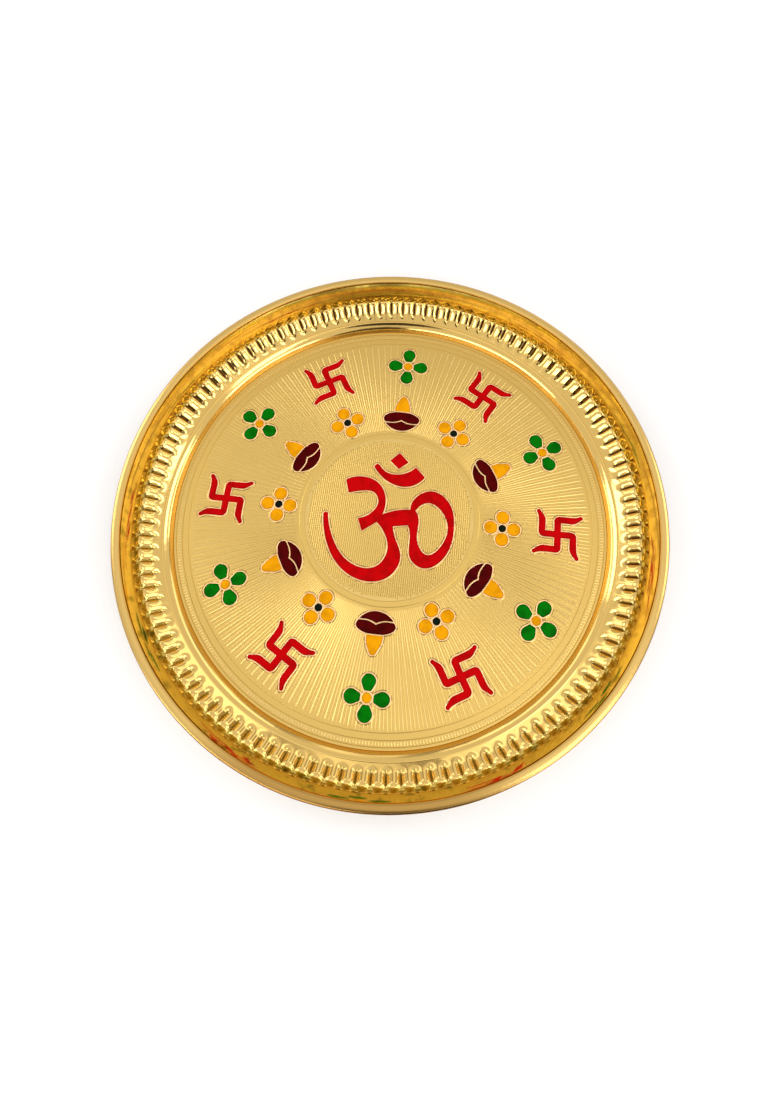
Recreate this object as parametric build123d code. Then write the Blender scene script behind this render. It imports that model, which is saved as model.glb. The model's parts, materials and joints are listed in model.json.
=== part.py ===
from build123d import *
import math
import os

# A puja thali: one round sheet of brass, pressed and rolled at the edge, with coloured
# enamel filled into the signs, flowers and lamps on its floor.
# Millimetres, +Z up. The origin is the middle of the underside, +Y the top of the sign.

# Sheet and enamel
sheet_thickness = 0.8
enamel_thickness = 0.3
cell_wall = 1.0  # bare metal left between two enamels of one motif

# Central sign, which stands inside the medallion ring
medallion_radius = 49.3
om_margin = 12.0  # from the medallion ring to the top and the foot of the sign
om_drawn_height = 74.6  # height of the sign's outline as its points give it

# Motifs: six of each, evenly spaced, each one turned to face outwards
motif_count = 6
lamp_gap = 2.4  # medallion ring to the foot of a lamp
lamp_width = 20.4
lamp_depth = 11.5
lamp_line = 0.8  # bare metal between the lamp's foot and its bowl
lamp_foot_width = 17.6
lamp_foot_side = 4.3  # height of the foot at its two ends
lamp_foot_peak = 6.0  # height of the foot in the middle, where it comes to a point
flame_width = 8.4
flame_height = 9.8
yellow_gap = 2.4  # medallion ring to the nearest petal
yellow_centre_radius = 2.0
yellow_petal_length = 6.7
yellow_petal_width = 6.9
yellow_petal_root = 4.8
ring_gap = 9.0  # flame tip to the nearest green petal
green_centre_radius = 2.4
green_petal_length = 8.1
green_petal_width = 7.2
green_petal_root = 4.2
petal_corner_radius = 0.9
swastika_inset = 3.0  # how far the swastikas' ring lies inside the green flowers' ring
swastika_stroke = 3.5
swastika_arm = 8.3
swastika_leg = 8.8
swastika_tip_run = 3.5
swastika_tip_rise = 2.0
swastika_tip_radius = 1.0
swastika_tip_turn = 32.0  # degrees by which a tip leans out of its leg
swastika_corner_radius = 2.8

# Floor border, then the wall's bands: how far each runs outwards and how far it rises
border_gap = 4.0  # green petal to the first line of the border
border_width = 7.7
ridge_run = 4.2
ridge_rise = 3.2
ridge_crown = 0.9  # how far the ridge bows above its chord
cove_run = 2.8
cove_rise = 2.4
flute_run = 8.4
flute_rise = 8.9
flute_sag = 1.1  # how far the valleys between flutes hollow below their chord
flute_bulge = 1.2
flute_count = 116
channel_run = 3.0
channel_rise = 8.1
channel_sag = 0.4  # how far the channel hollows below its chord
lip_width = 4.4
lip_crown = 0.8  # how far the rolled lip stands above the channel's edge
lip_depth = 2.4  # height of the roll

# Shares of the flutes' length at which a section is drawn, and the bulge it has there
flute_sections = ((0.0, 0.0), (0.26, 0.5), (0.55, 1.0), (0.8, 0.9), (0.93, 0.55), (1.0, 0.0))

# Places worked out from the sizes above
om_height = 2 * (medallion_radius - om_margin)
lamp_ring = medallion_radius + lamp_gap
flame_tip = lamp_ring + lamp_depth + cell_wall / 2 + flame_height
yellow_reach = yellow_centre_radius + cell_wall + yellow_petal_length
yellow_ring = medallion_radius + yellow_gap + yellow_reach
green_reach = green_centre_radius + cell_wall + green_petal_length
green_ring = flame_tip + ring_gap + green_reach
swastika_ring = green_ring - swastika_inset
floor_radius = green_ring + green_reach + border_gap + border_width
crease_radius = floor_radius + ridge_run
flute_foot_radius = crease_radius + cove_run
flute_top_radius = flute_foot_radius + flute_run
lip_inner_radius = flute_top_radius + channel_run
rim_radius = lip_inner_radius + lip_width
floor_top = sheet_thickness
crease_height = floor_top + ridge_rise
flute_foot_height = crease_height + cove_rise
flute_top_height = flute_foot_height + flute_rise
lip_inner_height = flute_top_height + channel_rise
flute_slope = math.atan2(flute_rise, flute_run)
flute_wall = sheet_thickness / math.sin(flute_slope)  # the sheet's width on a level cut


def below(radius, height, run, rise):
    """The point of the underside that lies under a point of the upper side."""
    slope = math.atan2(rise, run)
    return (radius + sheet_thickness * math.sin(slope), height - sheet_thickness * math.cos(slope))


def bowed(start, end, bow):
    """An arc from start to end that stands off its chord, to the left when bow is positive."""
    across = Vector(*end) - Vector(*start)
    middle = Vector(*start) + across * 0.5
    left = Vector(-across.Y, across.X).normalized()
    return ThreePointArc(start, tuple(middle + left * bow)[:2], end)


def spun(edges):
    """A ring or disc: a closed section in radius and height, turned about the Z axis."""
    section = Plane.XZ * make_face(edges)
    return revolve(section, Axis.Z)


def floor_and_ridge():
    """The flat floor, the ridge round it and the cove up to the foot of the flutes."""
    middle_top = (0, floor_top)
    floor_edge = (floor_radius, floor_top)
    crease = (crease_radius, crease_height)
    flute_foot = (flute_foot_radius, flute_foot_height)
    flute_foot_under = (flute_foot_radius + flute_wall, flute_foot_height)
    crease_under = below(*crease, ridge_run + cove_run, ridge_rise + cove_rise)
    floor_edge_under = (floor_radius + sheet_thickness / 2, 0)
    return spun([
        Line(middle_top, floor_edge),
        bowed(floor_edge, crease, ridge_crown),
        Line(crease, flute_foot),
        Line(flute_foot, flute_foot_under),
        Line(flute_foot_under, crease_under),
        bowed(crease_under, floor_edge_under, -ridge_crown),
        Line(floor_edge_under, (0, 0)),
        Line((0, 0), middle_top),
    ])


def channel_and_lip():
    """The hollow channel above the flutes and the edge of the sheet, rolled outwards."""
    flute_top = (flute_top_radius, flute_top_height)
    lip_inner = (lip_inner_radius, lip_inner_height)
    lip_top = (lip_inner_radius + lip_width / 2, lip_inner_height + lip_crown)
    lip_outer = (rim_radius, lip_inner_height + lip_crown - lip_depth / 2)
    lip_foot = (lip_inner_radius + lip_width / 2, lip_inner_height + lip_crown - lip_depth)
    lip_under = below(*lip_inner, channel_run, channel_rise)
    flute_top_under = (flute_top_radius + flute_wall, flute_top_height)
    return spun([
        bowed(flute_top, lip_inner, -channel_sag),
        Spline(lip_inner, lip_top, tangents=[(0.6, 1), (1, 0)]),
        Spline(lip_top, lip_outer, tangents=[(1, 0), (0, -1)]),
        Spline(lip_outer, lip_foot, tangents=[(0, -1), (-1, 0)]),
        Line(lip_foot, lip_under),
        bowed(lip_under, flute_top_under, channel_sag),
        Line(flute_top_under, flute_top),
    ])


def flute_section(radius, bulge, height):
    """A level section of the fluted wall: one arc for each flute, bowed inwards by bulge."""
    step = 2 * math.pi / flute_count
    arcs = []
    for flute in range(flute_count):
        start = flute * step
        places = ((radius, start), (radius - bulge, start + step / 2), (radius, start + step))
        points = [(r * math.cos(a), r * math.sin(a)) for r, a in places]
        arcs.append(ThreePointArc(*points))
    return Pos(0, 0, height) * make_face(arcs)


def fluted_wall():
    """The gadroon band: a sheet of even width between two lofts through the same sections."""
    inner = []
    outer = []
    for share, bulge_share in flute_sections:
        radius = flute_foot_radius + share * flute_run + flute_sag * 4 * share * (1 - share)
        height = flute_foot_height + share * flute_rise
        bulge = flute_bulge * bulge_share
        inner.append(flute_section(radius, bulge, height))
        outer.append(flute_section(radius + flute_wall, bulge, height))
    return loft(outer, ruled=True) - loft(inner, ruled=True)


def thali_plate():
    return floor_and_ridge() + fluted_wall() + channel_and_lip()


def enamel(face):
    """Enamel of one outline, lying on the floor."""
    return extrude(Pos(0, 0, floor_top) * face, enamel_thickness, dir=(0, 0, 1))


def om_outline(edges):
    return scale(make_face(edges), om_height / om_drawn_height)


def om_body():
    """The three-lobed stroke, with its tail and the loop at the end of the tail."""
    top_end = (-26.5, 18.5)
    notch = (-4, 0.5)
    tail_end = (11, 5)
    tail_under = (10.5, -4)
    tail_root = (2.5, -5.5)
    bowl_tip = (-36, -3)
    bowl_tip_inner = (-33.5, -3)
    stub_root = (-6.5, -4)
    stub_foot = (-14, -10)
    stub_head = (-17, -3)
    top_end_under = (-24, 11)
    loop_start = (13.8, 4.6)
    outer = om_outline([
        Spline(top_end, (-17, 21.3), (-9, 19), (-4, 12.5), (-3, 5.5), notch),
        Spline(notch, (3, 3.5), tail_end),
        Spline(tail_end, (14, 13), (22, 16.8), (31, 12), (35.5, -4), (32.5, -18), (21, -26.5),
               (14, -22.5), (12.4, -11), tail_under),
        Line(tail_under, tail_root),
        Spline(tail_root, (5, -13), (8.4, -21.5), (3.5, -33), (-8, -36.8), (-22, -31.5), (-32, -18),
               bowl_tip),
        ThreePointArc(bowl_tip, (-34.8, -1.4), bowl_tip_inner),
        Spline(bowl_tip_inner, (-28, -17.5), (-16.5, -28.5), (-5, -29), (1, -20), (-2, -9), stub_root),
        Line(stub_root, stub_foot),
        Line(stub_foot, stub_head),
        Spline(stub_head, (-10, 1), (-7, 7.5), (-9.5, 12.5), (-16, 13.2), top_end_under),
        Line(top_end_under, top_end),
    ])
    hole = om_outline([
        Spline(loop_start, (22, 9.8), (30.5, 2.5), (30.8, -11), (22, -19.2), (16.4, -12), (16, 0),
               loop_start),
    ])
    return enamel(outer - hole)


def om_crescent():
    left_tip = (-11.8, 28)
    left_tip_inner = (-9, 29.2)
    right_foot = (17, 24.5)
    right_head = (11.5, 30)
    return enamel(om_outline([
        Spline(left_tip, (-6.5, 22.2), (3.5, 17.9), right_foot),
        Line(right_foot, right_head),
        Spline(right_head, (7, 26.3), (-1, 24.5), left_tip_inner),
        ThreePointArc(left_tip_inner, (-10.9, 29.5), left_tip),
    ]))


def om_dot():
    top, right, foot, left = (1.5, 37.8), (7, 32.5), (2, 28), (-3.3, 32.6)
    return enamel(om_outline([Line(top, right), Line(right, foot), Line(foot, left), Line(left, top)]))


def flower_petals(centre_radius, length, width, root):
    """Four petals, each the hull of a large round end and two small rounds by the centre."""
    inner_end = centre_radius + cell_wall
    rounds = (Pos(0, inner_end + length - width / 2) * Circle(width / 2)).edges()
    for side in (-1, 1):
        corner = Pos(side * (root / 2 - petal_corner_radius), inner_end + petal_corner_radius)
        rounds += (corner * Circle(petal_corner_radius)).edges()
    petal = make_hull(rounds)
    return [enamel(Rot(0, 0, 90 * quarter) * petal) for quarter in range(4)]


def swastika():
    """Four arms, each bent clockwise, with a narrow tip that leans outwards."""
    half = swastika_stroke / 2
    bend_out = swastika_arm + half
    bend_in = swastika_arm - half
    straight_out = swastika_leg - swastika_stroke
    straight_in = swastika_leg - half
    lean = Vector(1, 0).rotate(Axis.Z, swastika_tip_turn)
    side = lean.rotate(Axis.Z, 90)
    centre = Vector(swastika_leg + swastika_tip_run, swastika_arm + swastika_tip_rise)
    tip_out = centre + side * swastika_tip_radius
    tip_end = centre + lean * swastika_tip_radius
    tip_in = centre - side * swastika_tip_radius
    arm = make_face([
        Polyline((half, bend_in), (half, 0), (-half, 0), (-half, bend_out), (straight_out, bend_out)),
        Spline((straight_out, bend_out), tip_out, tangents=[(1, 0), lean]),
        ThreePointArc(tip_out, tip_end, tip_in),
        Spline(tip_in, (straight_in, bend_in), tangents=[-lean, (-1, 0)]),
        Line((straight_in, bend_in), (half, bend_in)),
    ])
    corner = arm.vertices().sort_by_distance((-half, bend_out))[0]
    arm = fillet(corner, swastika_corner_radius)
    hub = Rectangle(swastika_stroke, swastika_stroke)
    sign = hub + [Rot(0, 0, 90 * quarter) * arm for quarter in range(4)]
    return enamel(sign)


def lamp_bowl():
    """The two enamels of an oil lamp: the foot below the metal line and the lipped bowl above."""
    half = lamp_width / 2
    foot_half = lamp_foot_width / 2
    shoulder = foot_half * 0.55  # where the foot's edge starts to climb to its point
    peak = (0, lamp_foot_peak)
    foot = make_face([
        ThreePointArc((-foot_half, lamp_foot_side), (0, 0), (foot_half, lamp_foot_side)),
        Spline((foot_half, lamp_foot_side), (shoulder, lamp_foot_side), peak,
               tangents=[(-1, 0), (-1, 0.7)]),
        Spline(peak, (-shoulder, lamp_foot_side), (-foot_half, lamp_foot_side),
               tangents=[(-1, -0.7), (-1, 0)]),
    ])
    bowl_side = lamp_foot_side + lamp_line
    bowl_end = half * 0.9
    notch = (0, lamp_foot_peak + lamp_line * 1.2)
    widest = lamp_depth * 0.66
    flat_top = half * 0.45
    bowl = make_face([
        Spline((-bowl_end, bowl_side), (-shoulder, bowl_side), notch, tangents=[(1, 0), (1, 0.7)]),
        Spline(notch, (shoulder, bowl_side), (bowl_end, bowl_side), tangents=[(1, -0.7), (1, 0)]),
        Spline((bowl_end, bowl_side), (half, widest), (flat_top, lamp_depth * 0.98), (0, lamp_depth)),
        Spline((0, lamp_depth), (-flat_top, lamp_depth * 0.98), (-half, widest), (-bowl_end, bowl_side)),
    ])
    return [enamel(foot), enamel(bowl)]


def lamp_flame():
    """The flame, widest where it leaves the bowl and narrow at its round tip."""
    half = flame_width / 2
    foot = lamp_depth + cell_wall / 2
    tip = (0, foot + flame_height)
    waist = (half * 0.84, foot + flame_height * 0.5)
    neck = (half * 0.46, foot + flame_height * 0.85)
    return enamel(make_face([
        Line((-half, foot), (half, foot)),
        Spline((half, foot), waist, neck, tip, tangents=[(0, 1), (-1, 0)]),
        Spline(tip, (-neck[0], neck[1]), (-waist[0], waist[1]), (-half, foot), tangents=[(-1, 0), (0, -1)]),
    ]))


def round_ring(solids, radius, first_turn):
    """Copies of a motif round the floor, the first turned clockwise from +Y by first_turn."""
    rings = []
    for place in range(motif_count):
        turn = Rot(0, 0, -first_turn - place * 360 / motif_count)
        rings.append([turn * Pos(0, radius, 0) * solid for solid in solids])
    return rings


def nodes():
    """Every piece by its name: the plate, the central sign and the rings of motifs."""
    pieces = {
        "thali_plate": [thali_plate()],
        "om_body": [om_body()],
        "om_crescent": [om_crescent()],
        "om_dot": [om_dot()],
    }
    between = 180 / motif_count
    green_petals = flower_petals(
        green_centre_radius, green_petal_length, green_petal_width, green_petal_root)
    yellow_petals = flower_petals(
        yellow_centre_radius, yellow_petal_length, yellow_petal_width, yellow_petal_root)
    rings = {
        "green_petals": round_ring(green_petals, green_ring, 0),
        "green_centre": round_ring([enamel(Circle(green_centre_radius))], green_ring, 0),
        "swastika": round_ring([swastika()], swastika_ring, between),
        "lamp_bowl": round_ring(lamp_bowl(), lamp_ring, 0),
        "lamp_flame": round_ring([lamp_flame()], lamp_ring, 0),
        "yellow_petals": round_ring(yellow_petals, yellow_ring, between),
        "yellow_centre": round_ring([enamel(Circle(yellow_centre_radius))], yellow_ring, between),
    }
    for name, ring in rings.items():
        for number, solids in enumerate(ring, start=1):
            pieces[f"{name}_{number}"] = solids
    return pieces


os.makedirs("parts", exist_ok=True)
for name, solids in nodes().items():
    whole = solids[0] if len(solids) == 1 else Compound(children=solids)
    export_step(whole, f"parts/{name}.step")
print(f"rim diameter {2 * rim_radius:.1f}, height {lip_inner_height + lip_crown:.1f}, "
      f"floor diameter {2 * floor_radius:.1f}")
print(f"green ring {green_ring:.1f}, swastika ring {swastika_ring:.1f}, yellow ring {yellow_ring:.1f}")
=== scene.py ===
# %% [markdown]
# # A puja thali in pressed brass and enamel
#
# The real tray is one round sheet of brass. A press gives it a flat floor, a wall of small rounded
# flutes and a rolled lip, and engraves the floor with fine rays. Colour is then painted into shallow
# cells on the floor. The CAD model gives every piece its true size and place, and this lesson
# dresses it: the engraving, the raised outlines, the soft crown of the enamel, and the finishes.

# %% Load the CAD model as a fixed frame
import json
import math

import bmesh
import bpy
import numpy as np
from mathutils import Matrix, Vector

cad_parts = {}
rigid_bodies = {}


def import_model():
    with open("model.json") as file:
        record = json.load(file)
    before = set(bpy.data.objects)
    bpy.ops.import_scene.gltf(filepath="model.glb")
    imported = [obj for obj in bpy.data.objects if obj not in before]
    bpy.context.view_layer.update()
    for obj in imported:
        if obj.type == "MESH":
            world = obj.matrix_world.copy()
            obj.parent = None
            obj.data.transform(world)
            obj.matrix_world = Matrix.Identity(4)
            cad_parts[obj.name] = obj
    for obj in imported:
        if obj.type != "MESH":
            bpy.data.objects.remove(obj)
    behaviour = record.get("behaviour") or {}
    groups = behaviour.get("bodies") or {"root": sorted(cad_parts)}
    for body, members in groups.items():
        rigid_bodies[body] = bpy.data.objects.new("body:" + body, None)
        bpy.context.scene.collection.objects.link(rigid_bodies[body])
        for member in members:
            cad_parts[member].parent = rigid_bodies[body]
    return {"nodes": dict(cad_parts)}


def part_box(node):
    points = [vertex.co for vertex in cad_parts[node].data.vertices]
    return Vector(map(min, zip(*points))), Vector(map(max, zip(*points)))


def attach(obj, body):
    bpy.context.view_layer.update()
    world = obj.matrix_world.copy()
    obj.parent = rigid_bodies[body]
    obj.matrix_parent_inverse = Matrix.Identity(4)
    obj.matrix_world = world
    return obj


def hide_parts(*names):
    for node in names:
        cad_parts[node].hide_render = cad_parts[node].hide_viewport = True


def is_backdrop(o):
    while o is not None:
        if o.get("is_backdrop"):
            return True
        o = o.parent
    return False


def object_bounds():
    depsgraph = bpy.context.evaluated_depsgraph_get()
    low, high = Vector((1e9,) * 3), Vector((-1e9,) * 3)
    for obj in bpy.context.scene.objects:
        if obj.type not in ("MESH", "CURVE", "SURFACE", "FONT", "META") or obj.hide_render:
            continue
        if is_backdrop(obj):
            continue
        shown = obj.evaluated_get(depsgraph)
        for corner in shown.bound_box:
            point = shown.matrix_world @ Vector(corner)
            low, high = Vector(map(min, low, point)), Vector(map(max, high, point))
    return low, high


for leftover in list(bpy.data.objects):
    bpy.data.objects.remove(leftover)
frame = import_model()
cad_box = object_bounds()
MM = 0.001
rim_radius = cad_box[1].x
rim_height = cad_box[1].z
floor_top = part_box("om_body")[0].z
print("rim radius", round(rim_radius / MM, 2), "height", round(rim_height / MM, 2))

# %% [markdown]
# ## The camera
#
# The photograph looks down steeply from close by, so the near side of the tray is larger than the
# far side. A camera is a place, a direction and a lens. The place is found by walking back from a
# point on the floor, along a line with a compass angle and a height angle. A small roll then turns
# the picture, and a small shift of the frame puts the tray where the photograph has it.

# %% Camera
photo_width = 780
photo_height = 1108
lens_pixels = 550
lens_centre_x = 393
lens_centre_y = 500
camera_turn = math.radians(8.836)
camera_height = math.radians(71.576)
camera_roll = math.radians(-2.224)
camera_distance = 303.2 * MM
camera_aim = Vector((0.86 * MM, 9.48 * MM, floor_top))
film_width = 36
nearest_seen = 10 * MM


def camera_axes():
    """Right, up and back directions of the camera, with its roll."""
    back = Vector((math.sin(camera_turn) * math.cos(camera_height),
                   -math.cos(camera_turn) * math.cos(camera_height),
                   math.sin(camera_height)))
    right = Vector((math.cos(camera_turn), math.sin(camera_turn), 0))
    up = back.cross(right)
    rolled_right = math.cos(camera_roll) * right + math.sin(camera_roll) * up
    rolled_up = math.cos(camera_roll) * up - math.sin(camera_roll) * right
    return rolled_right, rolled_up, back


def add_camera():
    """A camera that sees the tray as the photograph does."""
    right, up, back = camera_axes()
    data = bpy.data.cameras.new("camera")
    data.lens = lens_pixels * film_width / photo_height
    data.sensor_width = film_width
    data.shift_x = (photo_width / 2 - lens_centre_x) / photo_height
    data.shift_y = (lens_centre_y - photo_height / 2) / photo_height
    data.clip_start = nearest_seen
    camera = bpy.data.objects.new("camera", data)
    bpy.context.scene.collection.objects.link(camera)
    turn = Matrix((right, up, back)).transposed().to_4x4()
    camera.matrix_world = Matrix.Translation(camera_aim + back * camera_distance) @ turn
    bpy.context.scene.camera = camera
    return camera


camera = add_camera()
print("camera at", [round(value / MM, 1) for value in camera.matrix_world.translation])

# %% [markdown]
# ## Shader maths as Python
#
# A material is a graph of small nodes. Drawn by hand, a sum is one node and two wires, and a formula
# soon fills the screen. Here a small class wraps a wire, so that a formula can be written as Python:
# `1 - mask` adds a Math node by itself. A second class holds one material and adds any other node.

# %% Wire
class Wire:
    """An output socket that Python's operators join through Math nodes."""

    def __init__(self, graph, socket):
        self.graph = graph
        self.socket = socket

    def math(self, operation, first, second):
        return self.graph.node("ShaderNodeMath", {"operation": operation}, {0: first, 1: second})

    def __add__(self, other):
        return self.math("ADD", self, other)

    def __radd__(self, other):
        return self.math("ADD", other, self)

    def __sub__(self, other):
        return self.math("SUBTRACT", self, other)

    def __rsub__(self, other):
        return self.math("SUBTRACT", other, self)

    def __mul__(self, other):
        return self.math("MULTIPLY", self, other)

    def __rmul__(self, other):
        return self.math("MULTIPLY", other, self)


print("wires ready")

# %% Graph
class Graph:
    """A node tree, with a method that adds any node."""

    def __init__(self, owner, shader):
        owner.use_nodes = True
        self.owner = owner
        self.tree = owner.node_tree
        self.shader = self.tree.nodes[shader]

    def node(self, kind, settings, inputs, output=0):
        """Adds a node: first its settings, then a value or a wire for each socket."""
        node = self.tree.nodes.new(kind)
        for name, value in settings.items():
            setattr(node, name, value)
        self.feed(node, inputs)
        return Wire(self, node.outputs[output])

    def feed(self, node, inputs):
        """Gives each named socket its value or its wire."""
        for name, value in inputs.items():
            if isinstance(value, Wire):
                self.tree.links.new(value.socket, node.inputs[name])
            else:
                node.inputs[name].default_value = value

    def set(self, **inputs):
        """Feeds the shader, with _ for the spaces in a socket's name."""
        self.feed(self.shader, {name.replace("_", " "): value for name, value in inputs.items()})

    def place(self):
        """Where a point is, in metres from the middle of the underside."""
        return self.node("ShaderNodeTexCoord", {}, {}, "Object")

    def level(self, place):
        """A point without its height."""
        return self.node("ShaderNodeVectorMath", {"operation": "MULTIPLY"}, {0: place, 1: (1, 1, 0)})

    def radius(self, place):
        """How far a point is from the tray's axis."""
        return self.node("ShaderNodeVectorMath", {"operation": "LENGTH"}, {0: self.level(place)}, "Value")

    def along(self, place, direction):
        """How far a point is along a direction."""
        inputs = {0: place, 1: direction}
        return self.node("ShaderNodeVectorMath", {"operation": "DOT_PRODUCT"}, inputs, "Value")

    def noise(self, place, size, detail=3):
        """Cloudy noise from 0 to 1, with clouds of about the given size."""
        return self.node("ShaderNodeTexNoise", {}, {"Vector": place, "Scale": 1 / size, "Detail": detail})

    def rise(self, value, low, high):
        """0 below low, 1 above high and smooth between."""
        inputs = {"Value": value, "From Min": low, "From Max": high}
        return self.node("ShaderNodeMapRange", {"interpolation_type": "SMOOTHSTEP"}, inputs)

    def between(self, first, second, share):
        """A number that goes from first to second as the share goes from 0 to 1."""
        return first + (second - first) * share

    def mix(self, first, second, share):
        """A colour that goes from first to second as the share goes from 0 to 1."""
        return self.node("ShaderNodeMix", {"data_type": "RGBA"}, {0: share, 6: first, 7: second}, 2)

    def bump(self, height, depth):
        """A normal that is tilted as if the surface had this height, times depth."""
        return self.node("ShaderNodeBump", {}, {"Height": height, "Distance": depth})


print("graphs ready")

# %% [markdown]
# ## Floor and backdrop
#
# The tray stands on a wide pale floor. A round wall closes the picture when the tray is seen from
# low down. Lit as the floor is, it would have shadows and would show in the brass. So it glows
# evenly and is shown to the camera alone, and the brass still mirrors the tent that comes next.

# %% Floor and backdrop
floor_size = 8.0
floor_glow = 0.03
floor_roughness = 0.9
backdrop_radius = 3.8
backdrop_height = 6.0
backdrop_sides = 128
studio_white = (0.86, 0.86, 0.875, 1)
backdrop_white = (0.93, 0.93, 0.935, 1)
black = (0, 0, 0, 1)


def add_floor():
    """A wide pale floor that the tray stands on."""
    bpy.ops.mesh.primitive_plane_add(size=floor_size)
    floor = bpy.context.object
    floor.name = "studio_floor"
    paint = Graph(bpy.data.materials.new("studio_white"), "Principled BSDF")
    paint.set(Base_Color=studio_white, Roughness=floor_roughness)
    paint.set(Emission_Color=studio_white, Emission_Strength=floor_glow)
    floor.data.materials.append(paint.owner)
    floor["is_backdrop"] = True
    return floor


def add_backdrop():
    """A plain pale wall round the floor, which only the camera sees."""
    bpy.ops.mesh.primitive_cylinder_add(vertices=backdrop_sides, radius=backdrop_radius,
                                        depth=backdrop_height, end_fill_type="NOTHING",
                                        location=(0, 0, backdrop_height / 2))
    backdrop = bpy.context.object
    backdrop.name = "studio_backdrop"
    backdrop.visible_diffuse = False
    backdrop.visible_glossy = False
    backdrop.visible_shadow = False
    paint = Graph(bpy.data.materials.new("backdrop_white"), "Principled BSDF")
    paint.set(Base_Color=black, Specular_IOR_Level=0)
    paint.set(Emission_Color=backdrop_white, Emission_Strength=1)
    backdrop.data.materials.append(paint.owner)
    backdrop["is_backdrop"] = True
    return backdrop


bpy.ops.object.select_all(action="DESELECT")
print("stage:", add_floor().name, "and", add_backdrop().name)

# %% [markdown]
# ## The tent
#
# Brass has little colour of its own: it shows what stands round it. So the studio matters as much as
# the metal. A white tent stands round the tray and fills its flat floor with even light. Its lower
# part hangs in folds, light and dark, and its hem is dim. On the near side it has a high and a low
# gap, and what is beyond is dark. The high gap draws the dark line on the far ridge, and the low one
# darkens the far flutes. The tent is the world's background, which has no place of its own, so all
# of it is worked out from the direction in which a point is seen.

# %% Tent
upwards = (0, 0, 1)
tent_white = (1.18, 1.17, 1.14, 1)
tent_grey = (0.84, 0.83, 0.81, 1)
fold_bright = (1.45, 1.42, 1.35, 1)
fold_dark = (0.36, 0.34, 0.30, 1)
hem_dark = (0.14, 0.125, 0.11, 1)
gap_dark = (0.06, 0.05, 0.04, 1)
fold_width = 0.20
white_from = 0.78
folds_end = (0.20, 0.40)
hem_height = 0.05
high_gap_way = Vector((0.03, -0.50, 0.86))
high_gap_edge = (0.976, 0.991)
low_gap_way = Vector((0.14, -0.88, 0.42))
low_gap_edge = (0.945, 0.970)


def add_tent():
    """A white tent round the tray, with folds, a dim hem and two dark gaps on the near side."""
    tent = Graph(bpy.data.worlds.new("studio_tent"), "Background")
    way = tent.node("ShaderNodeTexCoord", {}, {}, "Generated")
    height = tent.along(way, upwards)
    cloth = tent.mix(tent_grey, tent_white, tent.rise(height, white_from, 1.0))
    creases = tent.rise(tent.noise(tent.level(way), fold_width, 1), 0.36, 0.64)
    folds = tent.mix(fold_dark, fold_bright, creases)
    cloth = tent.mix(folds, cloth, tent.rise(height, *folds_end))
    cloth = tent.mix(hem_dark, cloth, tent.rise(height, 0.0, hem_height))
    for gap_way, edge in ((high_gap_way, high_gap_edge), (low_gap_way, low_gap_edge)):
        gap = tent.rise(tent.along(way, gap_way.normalized()), *edge)
        cloth = tent.mix(cloth, gap_dark, gap)
    tent.set(Color=cloth)
    bpy.context.scene.world = tent.owner
    return tent.owner


print("world:", add_tent().name)

# %% [markdown]
# ## Soft boxes
#
# Soft boxes add the highlights. A box shows in the metal as a bright patch, so each one stands where
# a ray from the camera goes after it meets the part of the tray that should shine: the ridge at the
# left and right, the fingers, or the smooth cove. As with a white card, its brightness says how
# bright the patch is, whatever the size of the box.

# %% Soft boxes
soft_box_distance = 1.2
soft_boxes = [
    # name, compass angle and height angle in degrees, width, depth, brightness
    ("left_box", 160, 38, 0.50, 0.32, 3.2),
    ("right_box", 21, 42, 0.50, 0.24, 3.2),
    ("side_box", -29, 57, 0.34, 0.38, 3.0),
    ("front_left_box", -122, 35, 1.10, 0.28, 3.6),
    ("front_right_box", -36, 35, 0.70, 0.28, 3.6),
    ("low_right_box", 16, 25, 0.60, 0.24, 1.8),
    ("low_left_box", 163, 20, 0.60, 0.24, 1.6),
    ("back_right_box", 60, 22, 0.80, 0.15, 1.0),
    ("back_left_box", 125, 18, 0.80, 0.15, 0.9),
    ("low_front_box", -37, 7, 0.60, 0.14, 2.0),
]


def add_soft_box(name, compass, height, width, depth, brightness):
    """A rectangular light that faces the tray."""
    compass = math.radians(compass)
    height = math.radians(height)
    across = math.cos(height)
    way = Vector((math.cos(compass) * across, math.sin(compass) * across, math.sin(height)))
    data = bpy.data.lights.new(name, "AREA")
    data.shape = "RECTANGLE"
    data.size = width
    data.size_y = depth
    data.energy = brightness * math.pi * width * depth
    light = bpy.data.objects.new(name, data)
    bpy.context.scene.collection.objects.link(light)
    turn = way.to_track_quat("Z", "Y").to_matrix().to_4x4()
    light.matrix_world = Matrix.Translation(way * soft_box_distance) @ turn
    return light


for box in soft_boxes:
    add_soft_box(*box)
bpy.context.scene.view_settings.view_transform = "Standard"
print("soft boxes:", len(soft_boxes))

# %% [markdown]
# ## Clean brass
#
# The floor of the tray is pale and satin, because fine engraving scatters the light. What is raised
# is paler, more so in some patches, and what is sunk is darker. The wall is polished. In the channel
# under the lip a deeper gold is painted into the colour, a painted reflection of one gold wall in
# another. A point's distance from the axis tells which zone it is in, so one material can serve the
# whole sheet. The painted reflection belongs to the inside alone, so a slanted line between the two
# skins of the sheet keeps it off the outside.

# %% Clean brass
floor_edge = 117.2 * MM
channel_start = 132.0 * MM
channel_end = 135.5 * MM
skin_slope = 3.6
skin_level = -465.0 * MM
skin_blur = 0.6 * MM
relief = 0.10 * MM
wear_size = 12 * MM
pale_brass = (0.70, 0.465, 0.132, 1)
raised_brass = (0.82, 0.625, 0.27, 1)
sunk_brass = (0.36, 0.23, 0.045, 1)
wall_brass = (0.84, 0.56, 0.17, 1)
painted_reflection_brass = (0.80, 0.62, 0.095, 1)
lip_brass = (0.70, 0.46, 0.145, 1)
least_wear = 0.35
painted_reflection_share = 0.6


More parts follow.
